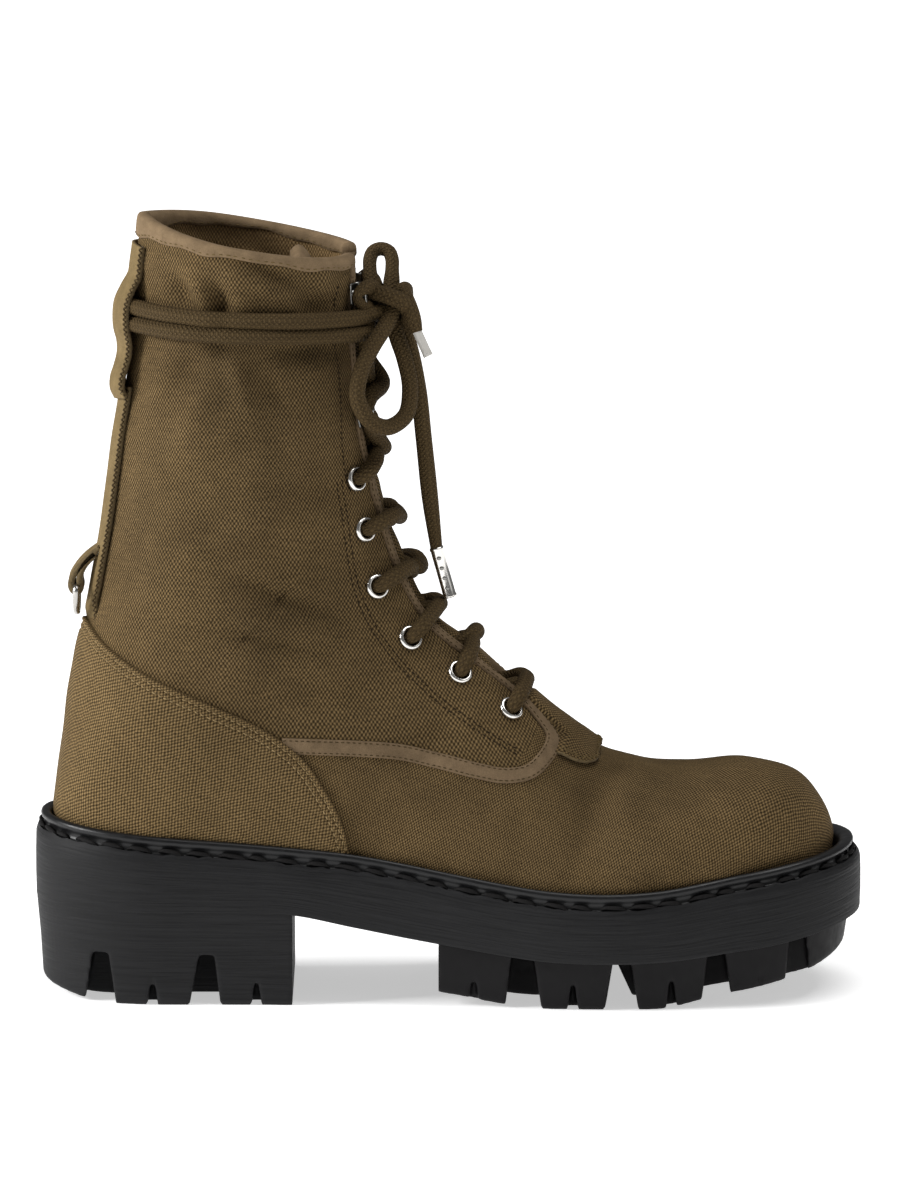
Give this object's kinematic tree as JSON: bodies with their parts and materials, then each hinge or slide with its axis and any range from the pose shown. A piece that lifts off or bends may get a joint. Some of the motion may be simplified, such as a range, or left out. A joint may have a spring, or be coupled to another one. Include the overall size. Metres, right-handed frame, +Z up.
{
  "type": "lace-up ankle boot",
  "caption": "Canvas lace-up ankle boot, a right shoe, with a lugged rubber sole, bound collar, eyelets and hooks, a lace wrapped round the shaft, and a ring at the heel.",
  "frame": {"origin": "centre of the sole's outline on the floor that the boot stands on", "axes": "+X to the toe, +Y to the inner (medial) side of the foot, +Z up"},
  "size_m": [0.29, 0.104, 0.2749],
  "materials": {
    "canvas": "heavy woven olive canvas",
    "leather_tape": "light brown nubuck tape and binding",
    "rubber": "black, sanded round the edge",
    "insole_board": "matt",
    "nickel": "polished",
    "lace": "round braid"
  },
  "bodies": {
    "boot": {"upper": "canvas", "heel_counter": "canvas", "tongue": "canvas", "tongue_tab": "canvas", "back_loop": "canvas", "backstay": "canvas", "ring_tab": "canvas", "collar_binding": "leather_tape", "facing_tape_lateral": "leather_tape", "facing_tape_medial": "leather_tape", "midsole": "rubber", "heel_block": "rubber", "outsole": "rubber", "welt": "rubber", "insole": "insole_board", "eyelet_lateral_1": "nickel", "eyelet_lateral_2": "nickel", "eyelet_lateral_3": "nickel", "eyelet_lateral_4": "nickel", "eyelet_lateral_5": "nickel", "eyelet_lateral_6": "nickel", "eyelet_medial_1": "nickel", "eyelet_medial_2": "nickel", "eyelet_medial_3": "nickel", "eyelet_medial_4": "nickel", "eyelet_medial_5": "nickel", "eyelet_medial_6": "nickel", "hook_lateral_1": "nickel", "hook_lateral_2": "nickel", "hook_medial_1": "nickel", "hook_medial_2": "nickel", "tip_short": "nickel", "tip_long": "nickel", "lace_cross_1": "lace", "lace_cross_2": "lace", "lace_cross_3": "lace", "lace_cross_4": "lace", "lace_cross_5": "lace", "lace_cross_6": "lace", "lace_cross_7": "lace", "lace_turn_upper": "lace", "lace_turn_lower": "lace", "lace_knot": "lace", "lace_loop_up": "lace", "lace_loop_down": "lace", "lace_end_short": "lace", "lace_end_long": "lace"},
    "ring": {"heel_ring": "nickel"}
  },
  "joints": [
    {"name": "ring_swing", "type": "hinge", "parent": "boot", "child": "ring", "pos_m": [-0.1302, 0, 0.143], "axis": [0, 1, 0], "range_deg": [-5, 150]}
  ]
}
